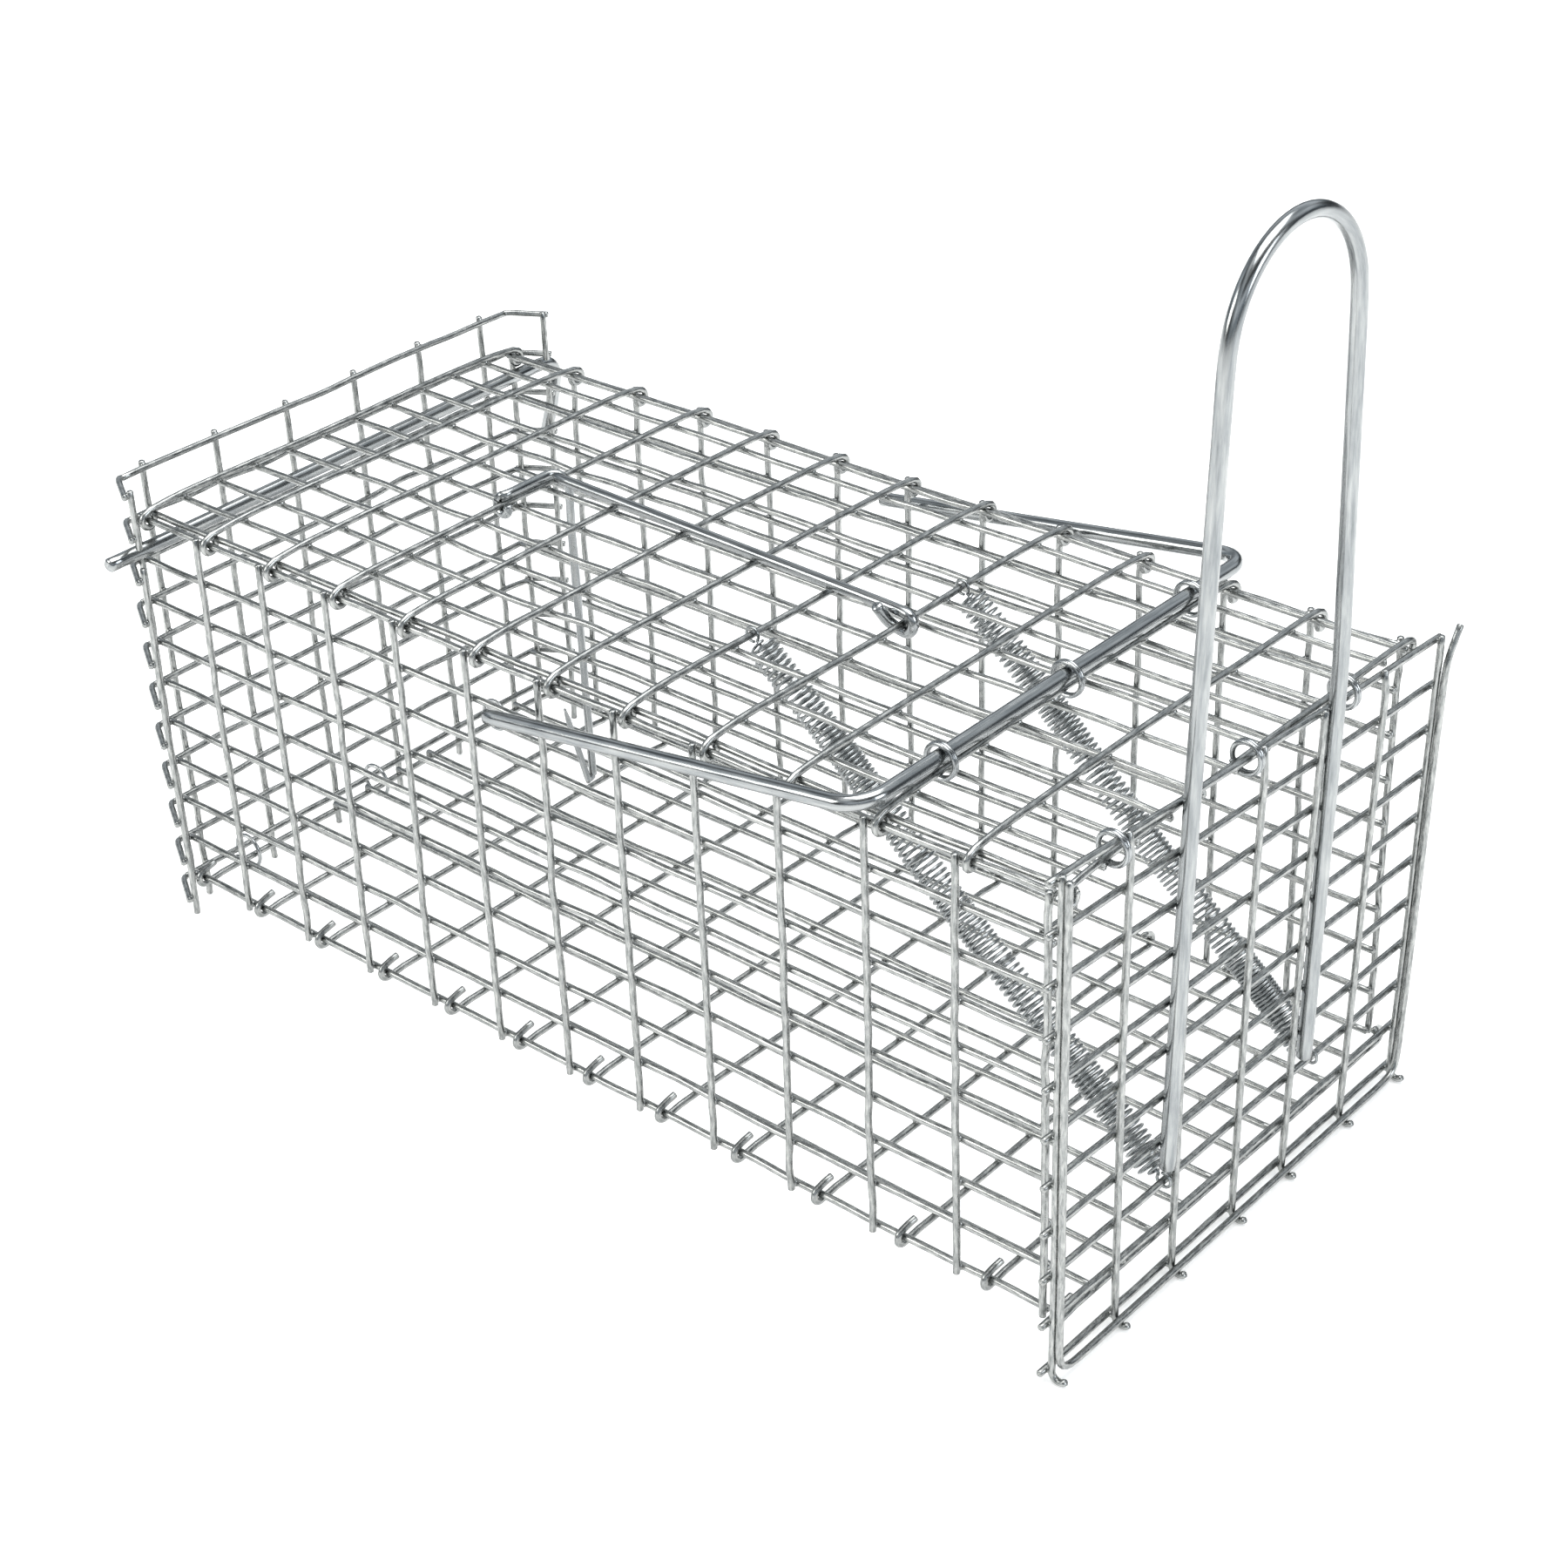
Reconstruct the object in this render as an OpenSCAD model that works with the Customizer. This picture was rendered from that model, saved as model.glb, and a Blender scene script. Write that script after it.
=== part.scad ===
// Live catch cage trap made of welded wire mesh.
// Front (sprung) door at +X, rear door at -X, Z up, all sizes in mm.

/* [Mesh] */
// length of the cage between its end cross-wires
cage_len = 304.8; // [200:12.7:500]
// width between the two side walls
cage_w = 139.7; // [100:12.7:250]
// height between the bottom and top wires of a side wall
wall_h = 114.3; // [80:12.7:200]
// wide pitch of the mesh
pitch_x = 25.4; // [20:0.1:30]
// narrow pitch of the mesh
pitch_z = 12.7; // [10:0.1:15]
// diameter of the mesh wire
mesh_d = 2.0; // [1.5:0.1:3]
// depth that two crossing wires are welded into each other
weld = 0.3; // [0.1:0.05:0.5]
// height of the roof cross-wires above the top wires of the walls
roof_rise = 3.5; // [2:0.1:6]
// distance that a wall's uprights stand behind the roof's cross-wires
wall_shift = 3.5; // [3.2:0.1:6]

/* [Front door] */
// width of the front door between its outer uprights
door_w = 152.4; // [127:25.4:254]
// centre plane of the door's level wires in front of the hinge wire
door_gap = 2.4; // [2.2:0.1:4]
// height of the door's lowest level wire under the walls' bottom wires
door_drop = 8.9; // [8:0.1:14]
// number of narrow cells up the door
door_cells = 10; // [6:1:16]
// height of one cell in the middle of the door
door_pitch = 12.8; // [12:0.05:13.5]
// extra height of one cell at the door's left edge, taken off at its right edge
door_fan = 0.49; // [0:0.01:0.6]
// radius of the three hinge rings to the wire's centre
hinge_r = 4.7; // [4.6:0.1:6]
// diameter of the hinge rings' wire
hinge_d = 1.6; // [1.2:0.1:1.8]
// diameter of the door's edge frame wire
frame_d = 2.0; // [1.5:0.1:3]

/* [Setting handle] */
// diameter of the handle wire
handle_d = 4.0; // [3:0.1:6]
// radius of the arch at the top of the handle
arch_r = 25.6; // [15:0.1:40]
// height of the lower ends of the legs
leg_z = 23.0; // [15:1:40]
// height of the arch's centre
arch_z = 221.0; // [150:1:260]

/* [Rear door] */
// half width of the flat part of the rear door
rear_half = 73.2; // [73:0.1:80]
// how far each bent edge reaches forward
flange_x = 11.0; // [10:0.5:20]
// how far each bent edge flares outward
flange_y = 6.6; // [3:0.5:12]
// height of the gap in each bent edge's post at the locking rod
relief = 5.6; // [5:0.1:10]

/* [Locking rod] */
// diameter of the rod
rod_d = 4.0; // [3:0.1:6]
// upward tilt of the rod in degrees
rod_tilt = 0.75; // [0:0.05:1.6]

/* [Latch and bait hook] */
// diameter of the latch rod
latch_d = 3.0; // [2:0.1:4]
// reach of the latch rod from its pivot wire
latch_len = 123.3; // [100:0.1:123.5]
// diameter of the bait hook wire
hook_d = 2.5; // [2:0.1:3]

/* [Swing bar] */
// diameter of the swing bar
bar_d = 4.0; // [3:0.1:6]
// distance of each arm from the middle
arm_y = 76.5; // [76:0.1:90]
// length of the arms
arm_len = 120.0; // [60:1:140]
// droop of the arms in degrees
arm_droop = 8.5; // [0:0.5:20]

/* [Springs] */
// outer diameter of the spring coils
coil_d = 8.6; // [6:0.1:9]
// thickness of the sleeve that stands for the coils
coil_t = 0.6; // [0.4:0.1:1.2]
// diameter of the spring's hook wire
eye_d = 1.1; // [0.8:0.1:1.5]

/* [Hidden] */

r = mesh_d / 2;
stack = mesh_d - weld;
half_l = cage_len / 2;
half_w = cage_w / 2;
cols = round(cage_len / pitch_x);
rows = round(wall_h / pitch_z);
strips = round(cage_w / pitch_z) - 1;
curl_r = mesh_d + 0.1;
roof_z = wall_h + roof_rise;
floor_z = -1.5;
floor_drift = 0.45;
wall_rear = -half_l - wall_shift;
wall_front = half_l - wall_shift;

// front door
door_x = half_l + door_gap;
post_x = door_x + stack;
door_z0 = -door_drop;
door_cols = round(door_w / pitch_x);
low_shift = [0.2, 0.2, -1.3, -0.2, -2.8, -0.6, -0.8];
top_shift = [0.4, -0.3, -2.2, 0.2, -1.1, 0.8, 0.2];
hinge_y = [-55, -3.4, 37.5];
frame_x = post_x + r + frame_d / 2 + 0.03;
under_r = frame_d / 2 + 0.1 + r;
ground_z = door_z0 - under_r - r;
handle_x = door_x + r + handle_d / 2 + 0.03;

// rear door
rear_x = -half_l - 6.0;
rear_post_x = rear_x - stack;
rear_z0 = -1.0;
rear_rows = 10;
rear_hinge = [-half_l - 3.0, -1.5];
clip_r = 5.0;
clip_d = 1.2;
flange_len = sqrt(flange_x * flange_x + flange_y * flange_y);
flange_a = atan2(flange_y, flange_x);

// locking rod
lock_x = -half_l + 1.5;
lock_z = 108.4;
lock_left = -86.0;
lock_right = 79.0;

// roof fittings
latch_x = -half_l + 8 * pitch_x;
latch_r = r + 0.45 + latch_d / 2;
bait_x = -half_l + 3 * pitch_x;
bait_r = r + 0.3 + hook_d / 2;
bar_x = -half_l + 10 * pitch_x;
bar_z = roof_z + r + bar_d / 2 + 0.3;
bar_ring_z = roof_z + 2.1;
bar_ring_r = 4.25;
bar_ring_d = 1.3;
clip_y = [-50.8, 0, 50.8];
bar_ring_y = [-48, 0, 51];
eye_r = r + 0.3 + eye_d / 2;

// the assembly is centred on the box around it and stands on Z = 0
mid_x = ((rear_post_x - r) + (post_x + 2 * under_r + r)) / 2;
mid_y = 0;
steel = [0.72, 0.74, 0.76];
bright = [0.80, 0.81, 0.82];
dark = [0.62, 0.64, 0.66];

$fn = 0;
$fa = 12;
$fs = 0.4;

module place() {
    translate([-mid_x, -mid_y, -ground_z]) children();
}

// straight wire between two points
module wire(p, q, d) {
    v = q - p;
    len = norm(v);
    translate(p)
        rotate([0, acos(v[2] / len), atan2(v[1], v[0])])
            cylinder(d = d, h = len);
}

// ball that closes a corner between two straight wires
module knuckle(p, d) {
    translate(p) sphere(d = d * 1.04);
}

// wire bent along a circle around the Z axis
module bend(radius, d, a) {
    rotate_extrude(angle = a) translate([radius, 0]) circle(d = d);
}

// bend in a plane across the cage: a = 0 points to +Y, a = 90 up
module bend_yz(c, radius, d, a0, a1) {
    translate(c) rotate([90, 0, 90]) rotate([0, 0, a0]) bend(radius, d, a1 - a0);
}

// bend in a plane along the cage: a = 0 points to +X, a = 90 up
module bend_xz(c, radius, d, a0, a1) {
    translate(c) rotate([90, 0, 0]) rotate([0, 0, a0]) bend(radius, d, a1 - a0);
}

// side wall on the +Y side: level wires inside, uprights outside
module wall() {
    for (k = [0 : rows])
        wire([wall_rear - 0.7, half_w, k * pitch_z], [wall_front + 0.7, half_w, k * pitch_z], mesh_d);
    for (i = [0 : cols])
        wire([wall_rear + i * pitch_x, half_w + stack, -1.5],
            [wall_rear + i * pitch_x, half_w + stack, wall_h + 1.5], mesh_d);
}

module right_wall() {
    color(steel) place() wall();
}

module left_wall() {
    color(steel) place() mirror([0, 1, 0]) wall();
}

// one end of a roof cross-wire: it dips and curls round the wall's top wire
module roof_end(x) {
    a = 79.5;
    p = [x, half_w - 7.85, roof_z];
    q = [x, half_w + curl_r * cos(a), wall_h + curl_r * sin(a)];
    wire(p, q, mesh_d);
    knuckle(p, mesh_d);
    knuckle(q, mesh_d);
    bend_yz([x, half_w, wall_h], curl_r, mesh_d, a - 300, a);
}

module roof_panel() {
    color(steel) place() {
        for (i = [0 : cols]) {
            x = -half_l + i * pitch_x;
            wire([x, -half_w + 7.85, roof_z], [x, half_w - 7.85, roof_z], mesh_d);
            roof_end(x);
            mirror([0, 1, 0]) roof_end(x);
        }
        for (j = [1 : strips])
            wire([-half_l - 0.9, -half_w + j * pitch_z, roof_z - stack],
                [half_l + 0.9, -half_w + j * pitch_z, roof_z - stack], mesh_d);
    }
}

// one end of a floor cross-wire: a hook under and round the wall's bottom wire
module floor_end(x) {
    a0 = -96;
    a1 = 65;
    p = [x, half_w - 6, floor_z];
    q = [x, half_w + curl_r * cos(a0), curl_r * sin(a0)];
    e = [x, half_w + curl_r * cos(a1), curl_r * sin(a1)];
    wire(p, q, mesh_d);
    knuckle(p, mesh_d);
    knuckle(q, mesh_d);
    bend_yz([x, half_w, 0], curl_r, mesh_d, a0, a1);
    knuckle(e, mesh_d);
    wire(e, e + 5 * [0, -sin(a1), cos(a1)], mesh_d);
}

module floor_panel() {
    color(steel) place() {
        for (i = [0 : cols]) {
            x = -half_l + i * pitch_x + (i < cols ? i * floor_drift : 0);
            wire([x, -half_w + 6, floor_z], [x, half_w - 6, floor_z], mesh_d);
            floor_end(x);
            mirror([0, 1, 0]) floor_end(x);
        }
        for (j = [1 : strips])
            wire([-half_l - 0.9, -half_w + j * pitch_z, floor_z + stack],
                [half_l + 0.9, -half_w + j * pitch_z, floor_z + stack], mesh_d);
    }
}

// height of the door's level wire k at the distance y from the door's middle
function door_z(y, k) = door_z0 + k * (door_pitch - door_fan * 2 * y / door_w);

// sideways place of the same point: the door leans a little to the right
function door_y(y, k) = y * (0.98 + 0.004 * k) - 3.6 + 0.34 * k;

// upright i of the door, whose lower end hooks under the edge frame wire
module door_upright(i) {
    y = -door_w / 2 + i * pitch_x;
    p = [post_x, door_y(y, 0) + low_shift[i], door_z(y, 0)];
    q = [post_x, door_y(y, door_cells) + top_shift[i], door_z(y, door_cells)];
    knuckle(p, mesh_d);
    wire(p, q + 1.6 * (q - p) / norm(q - p), mesh_d);
    bend_xz(p + [under_r, 0, 0], under_r, mesh_d, 180, 330);
}

module front_door_mesh() {
    y = door_w / 2 + 2.6;
    color(steel) place() {
        for (k = [0 : door_cells])
            wire([door_x, door_y(-y, k), door_z(-y, k)], [door_x, door_y(y, k), door_z(y, k)], mesh_d);
        for (i = [0 : door_cols]) door_upright(i);
    }
}

// ring that ties the door's top level wire to the roof's front cross-wire
module hinge_loop(y) {
    color(dark) place()
        translate([(half_l + door_x) / 2, y, (roof_z + door_z(y, door_cells)) / 2])
            rotate([90, 0, 0]) bend(hinge_r, hinge_d, 360);
}

module front_hinge_ring_left() {
    hinge_loop(hinge_y[0]);
}

module front_hinge_ring_middle() {
    hinge_loop(hinge_y[1]);
}

module front_hinge_ring_right() {
    hinge_loop(hinge_y[2]);
}

// wire through a list of points, with a ball at each inner corner
module bent_wire(pts, d) {
    for (i = [0 : len(pts) - 2]) {
        wire(pts[i], pts[i + 1], d);
        if (i > 0) knuckle(pts[i], d);
    }
}

module front_door_frame_wire() {
    y = door_w / 2;
    c = 4;
    e = 1.2;
    a = [frame_x, door_y(-y, 0), door_z0];
    b = [frame_x, door_y(y, 0) - 0.8, door_z0];
    tl = [frame_x, door_y(-y, door_cells), door_z(-y, door_cells) + 1];
    tr = [frame_x, door_y(y, door_cells), door_z(y, door_cells) - 5];
    color(steel) place()
        bent_wire([tl, a + [0, 0, c], a + [0, e, e], a + [0, c, 0], b - [0, c, 0],
            b + [0, -e, e], b + [0, 0, c], tr, tr + [0, 5.5, 8]], frame_d);
}

// carrying and setting handle: two legs on the door under one arch
module setting_handle() {
    k = 128;
    cy = -0.8;
    color(bright) place() {
        bent_wire([[handle_x, -35.4, leg_z + 1], [handle_x, -31.4, k],
            [handle_x, cy - arch_r, arch_z - 3]], handle_d);
        bent_wire([[handle_x, 23.6, leg_z - 1], [handle_x, 28.0, k],
            [handle_x, cy + arch_r, arch_z - 3]], handle_d);
        for (m = [-1, 1]) {
            knuckle([handle_x, cy + m * arch_r, arch_z - 3], handle_d);
            wire([handle_x, cy + m * arch_r, arch_z - 3],
                [handle_x, cy + m * arch_r * cos(9), arch_z + arch_r * sin(9)], handle_d);
            knuckle([handle_x, cy + m * arch_r * cos(9), arch_z + arch_r * sin(9)], handle_d);
        }
        bend_yz([handle_x, cy, arch_z], arch_r, handle_d, 9, 171);
    }
}

// extension spring from a roof cross-wire to a level wire of the front door
module spring(x, y0, y1) {
    a = [x, y0, roof_z];
    b = [door_x, y1, door_z(y1, 2)];
    u = (b - a) / norm(b - a);
    len = norm(b - a) - 16;
    bend_xz(a, eye_r, eye_d, -38, 290);
    bend_xz(b, eye_r, eye_d, 142, 470);
    wire(a + u * (eye_r - 0.2), a + u * 8.3, eye_d);
    wire(b - u * 8.3, b - u * (eye_r - 0.2), eye_d);
    translate(a + u * 8)
        rotate([0, acos(u[2]), atan2(u[1], u[0])])
            difference() {
                cylinder(d = coil_d, h = len);
                translate([0, 0, coil_t]) cylinder(d = coil_d - 2 * coil_t, h = len - 2 * coil_t);
            }
}

module left_spring() {
    color(dark) place() spring(-half_l + 7 * pitch_x, -25.4, -32);
}

module right_spring() {
    color(dark) place() spring(-half_l + 8 * pitch_x, 25.4, 32);
}

// rod that lies on the roof, hooked round a cross-wire at its front end
module latch_rod() {
    a = 72;
    top = [latch_x + latch_r * cos(a), 2, roof_z + latch_r * sin(a)];
    tip = [latch_x - latch_len, 6.3, roof_z + r + 0.45 + latch_d / 2];
    low = [latch_x, 2, roof_z - latch_r];
    tail = [latch_x - 4.2, -3.5, roof_z + 5.5];
    color(bright) place() {
        wire(top, tip, latch_d);
        knuckle(top, latch_d);
        bend_xz([latch_x, 2, roof_z], latch_r, latch_d, -90, a);
        knuckle(low, latch_d);
        wire(low, [latch_x - 3.4, 0.5, roof_z - 0.8], latch_d);
        knuckle([latch_x - 3.4, 0.5, roof_z - 0.8], latch_d);
        wire([latch_x - 3.4, 0.5, roof_z - 0.8], tail, latch_d);
    }
}

// bait hook: an eye round a cross-wire, a catch bar on top and a hanging hook
module bait_hook() {
    e = [bait_x, -9.6, roof_z];
    b0 = [bait_x, -9.6, roof_z + bait_r];
    b1 = [bait_x, 7.9, roof_z + bait_r];
    b2 = [bait_x + 2.6, 9.9, roof_z + 2.0];
    h0 = [bait_x + 3.1, 11.4, roof_z - 1.4];
    h1 = [bait_x + 2.6, 11.5, 104];
    h2 = [bait_x - 2.6, 17.6, 20];
    h3 = [bait_x - 2.6, 8.4, 46];
    color(bright) place() {
        bend_xz(e, bait_r, hook_d, 90, 380);
        wire(b0, b1, hook_d);
        knuckle(b0, hook_d);
        knuckle(b1, hook_d);
        wire(b1, b2, hook_d);
        knuckle(b2, hook_d);
        wire(b2, h0, hook_d);
        knuckle(h0, hook_d);
        wire(h0, h1, hook_d);
        knuckle(h1, hook_d);
        wire(h1, h2, hook_d);
        knuckle(h2, hook_d);
        wire(h2, h3, hook_d * 0.8);
    }
}

// loose U-shaped bar over the roof with an arm down each side
module swing_bar() {
    c = 8;
    color(bright) place() translate([bar_x, 0, bar_z]) rotate([0, -arm_droop, 0]) {
        wire([0, -arm_y + c, 0], [0, arm_y - c, 0], bar_d);
        translate([-c, arm_y - c, 0]) bend(c, bar_d, 90);
        translate([-c, -arm_y + c, 0]) rotate([0, 0, -90]) bend(c, bar_d, 90);
        wire([-c, arm_y, 0], [-arm_len, arm_y, 0], bar_d);
        wire([-c, -arm_y, 0], [-arm_len, -arm_y, 0], bar_d);
    }
}

module bar_ring(y) {
    translate([bar_x, y, bar_ring_z]) rotate([90, 0, 0]) bend(bar_ring_r, bar_ring_d, 360);
}

module swing_bar_ring_left() {
    color(dark) place() bar_ring(bar_ring_y[0]);
}

module swing_bar_ring_middle() {
    color(dark) place() bar_ring(bar_ring_y[1]);
}

module swing_bar_ring_right() {
    color(dark) place() bar_ring(bar_ring_y[2]);
}

module rear_door_panel() {
    color(steel) place() {
        for (k = [0 : rear_rows])
            wire([rear_x, -rear_half + 1, rear_z0 + k * pitch_z],
                [rear_x, rear_half - 1, rear_z0 + k * pitch_z], mesh_d);
        for (i = [0 : 5]) {
            y = -2.5 * pitch_x + i * pitch_x;
            wire([rear_post_x, y, ground_z], [rear_post_x, y, rear_z0 + rear_rows * pitch_z + 1.4], mesh_d);
        }
    }
}

// bent edge of the rear door on the +Y side, with a gap where the locking rod lies
module flange(rod_z) {
    top = rear_z0 + rear_rows * pitch_z + 1.4;
    translate([rear_x, rear_half, 0]) rotate([0, 0, flange_a]) {
        for (k = [0 : rear_rows])
            wire([0.1, 0, rear_z0 + k * pitch_z], [flange_len, 0, rear_z0 + k * pitch_z], mesh_d);
        wire([flange_len - 1.3, -stack, ground_z], [flange_len - 1.3, -stack, rod_z - relief / 2], mesh_d);
        wire([flange_len - 1.3, -stack, rod_z + relief / 2], [flange_len - 1.3, -stack, top], mesh_d);
    }
}

module rear_door_right_flange() {
    color(steel) place() flange(lock_z + 78 * sin(rod_tilt) - 0.3);
}

module rear_door_left_flange() {
    color(steel) place() mirror([0, 1, 0]) flange(lock_z - 78 * sin(rod_tilt) - 0.3);
}

module hinge_ring(y) {
    translate([rear_hinge[0], y, rear_hinge[1]]) rotate([90, 0, 0]) bend(clip_r, clip_d, 360);
}

module rear_hinge_ring_left() {
    color(dark) place() hinge_ring(clip_y[0]);
}

module rear_hinge_ring_middle() {
    color(dark) place() hinge_ring(clip_y[1]);
}

module rear_hinge_ring_right() {
    color(dark) place() hinge_ring(clip_y[2]);
}

// rod across the rear end, bent down outside the far wall as a pull
module locking_rod() {
    c = 5;
    p = [lock_x, lock_left, lock_z + lock_left * sin(rod_tilt)];
    q = [lock_x, lock_right, lock_z + lock_right * sin(rod_tilt)];
    color(bright) place() {
        wire(p, q, rod_d);
        knuckle(q, rod_d);
        translate(q) rotate([rod_tilt, 0, 0]) bend_yz([0, 0, -c], c, rod_d, 0, 90);
        knuckle([lock_x, lock_right + c, q[2] - c + 0.1], rod_d);
        wire([lock_x, lock_right + c, q[2] - c + 0.1], [lock_x - 3, lock_right + c, 92], rod_d);
        knuckle([lock_x - 3, lock_right + c, 92], rod_d);
        wire([lock_x - 3, lock_right + c, 92], [lock_x - 7, lock_right + c, 80], rod_d);
    }
}

left_wall();
right_wall();
roof_panel();
floor_panel();
front_door_mesh();
front_door_frame_wire();
front_hinge_ring_left();
front_hinge_ring_middle();
front_hinge_ring_right();
setting_handle();
left_spring();
right_spring();
latch_rod();
bait_hook();
swing_bar();
swing_bar_ring_left();
swing_bar_ring_middle();
swing_bar_ring_right();
rear_door_panel();
rear_door_left_flange();
rear_door_right_flange();
rear_hinge_ring_left();
rear_hinge_ring_middle();
rear_hinge_ring_right();
locking_rod();
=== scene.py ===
import bpy
import numpy as np
from mathutils import Matrix, Vector


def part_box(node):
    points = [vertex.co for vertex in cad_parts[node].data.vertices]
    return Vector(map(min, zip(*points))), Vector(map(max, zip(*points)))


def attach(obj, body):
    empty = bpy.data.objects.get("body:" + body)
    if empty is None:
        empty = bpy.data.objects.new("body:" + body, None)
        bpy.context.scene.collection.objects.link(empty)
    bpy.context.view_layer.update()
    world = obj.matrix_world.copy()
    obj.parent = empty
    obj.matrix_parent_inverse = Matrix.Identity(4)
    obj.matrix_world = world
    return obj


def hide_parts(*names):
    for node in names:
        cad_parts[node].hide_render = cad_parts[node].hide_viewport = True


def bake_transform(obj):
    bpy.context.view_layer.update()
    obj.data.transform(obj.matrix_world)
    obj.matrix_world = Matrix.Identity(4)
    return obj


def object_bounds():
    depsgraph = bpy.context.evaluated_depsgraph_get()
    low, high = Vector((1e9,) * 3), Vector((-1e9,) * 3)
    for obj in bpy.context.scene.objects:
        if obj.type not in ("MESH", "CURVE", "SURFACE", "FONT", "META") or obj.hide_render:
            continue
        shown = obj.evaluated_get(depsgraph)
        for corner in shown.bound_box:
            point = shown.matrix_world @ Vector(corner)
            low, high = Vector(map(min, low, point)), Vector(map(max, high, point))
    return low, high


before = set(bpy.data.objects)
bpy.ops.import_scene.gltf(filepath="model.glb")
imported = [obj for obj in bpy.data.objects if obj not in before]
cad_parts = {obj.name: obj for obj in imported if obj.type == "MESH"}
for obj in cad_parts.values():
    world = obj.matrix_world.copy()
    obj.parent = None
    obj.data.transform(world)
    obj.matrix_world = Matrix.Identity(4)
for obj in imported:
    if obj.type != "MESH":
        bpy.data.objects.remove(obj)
cad_low, cad_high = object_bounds()

# ---------------------------------------------------------------- side walls
# Two long panels of welded mesh, mild steel wire of a little under 2 mm on a
# 25.4 by 12.7 mm pitch: level wires inside, uprights outside. The mesh is
# welded first and zinc plated after, so each crossing keeps a bright bead.
PITCH = 25.4
CELL = 12.7
WIRE = 0.93  # radius of the mesh wire
HALF_LENGTH = 152.4
HALF_WIDTH = 69.85
WALL_TOP = 114.3
POST_Y = 71.55
WALL_REAR, WALL_FRONT = -155.9, 148.9
SPAN_SAG = 0.14  # how far a wire bows between two welds
PANEL_WAVE = 0.3  # how far a whole panel is out of flat

lot = np.random.default_rng(25127)
roof_low, roof_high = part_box("roof_panel")
wall_low, wall_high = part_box("left_wall")
# the cage's own zero: middle of its length and width, at the walls' lowest wires
cage_zero = np.array([(roof_low.x + roof_high.x) / 2, 0.0, wall_low.z + 0.0015])


def to_row(points):
    """Millimetres from the cage's own zero to metres in the row frame."""
    return np.asarray(points, float) * 0.001 + cage_zero


def points_between(ends, step):
    """Points along a polyline: each leg is cut into equal steps no longer than step."""
    ends = np.asarray(ends, float)
    legs = np.linalg.norm(np.diff(ends, axis=0), axis=1)
    reach = np.concatenate([[0], np.cumsum(legs)])
    counts = np.maximum(1, np.ceil(legs / step).astype(int))
    cuts = [reach[i] + legs[i] * np.arange(n) / n for i, n in enumerate(counts)]
    at = np.concatenate(cuts + [[reach[-1]]])
    return np.stack([np.interp(at, reach, ends[:, k]) for k in range(3)], 1)


def rounded(path, passes):
    """Softens the corners of a path: each inner point moves halfway to its neighbours' mean."""
    path = path.copy()
    for _ in range(passes):
        path[1:-1] += 0.5 * ((path[:-2] + path[2:]) / 2 - path[1:-1])
    return path


def arc(centre, radius, start, end, plane, step=16):
    """Circle arc: centre + radius * (cos a, sin a) in the plane's two axes, a in degrees."""
    count = max(4, int(abs(end - start) / step) + 1)
    a = np.radians(np.linspace(start, end, count))
    out = np.tile(np.asarray(centre, float), (count, 1))
    out[:, plane[0]] += radius * np.cos(a)
    out[:, plane[1]] += radius * np.sin(a)
    return out


def wander(points, size=PANEL_WAVE):
    """Slow drift of a panel: three sine waves of 90 to 170 mm across the place of each point."""
    x, y, z = points.T
    waves = [
        np.sin(x / 27 + y / 19 + 0.7) + np.sin(z / 17 - x / 21),
        np.sin(x / 23 - z / 15 + 1.9) + np.sin(y / 18 + 0.4),
        np.sin(x / 19 + y / 25 + 2.3) + np.sin(y / 14 - x / 29),
    ]
    return points + size * 0.5 * np.stack(waves, 1)


def welded_wire(start, end, pitch, first, size=SPAN_SAG):
    """Straight wire that bows a little between its welds.

    The bow in each span is size * sine squared of the share of the span, in a
    direction of its own, so the wire stays put where it is welded."""
    path = points_between([start, end], 3.2)
    along = np.linalg.norm(path - path[0], axis=1)
    way = (path[-1] - path[0]) / along[-1]
    span = (along - first) / pitch
    number = np.floor(span).astype(int)
    number -= number.min()
    push = lot.normal(0, size, (number.max() + 1, 3))
    push -= np.outer(push @ way, way)
    bow = push[number] * (np.sin(np.pi * span) ** 2)[:, None]
    return wander(path + bow)


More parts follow.
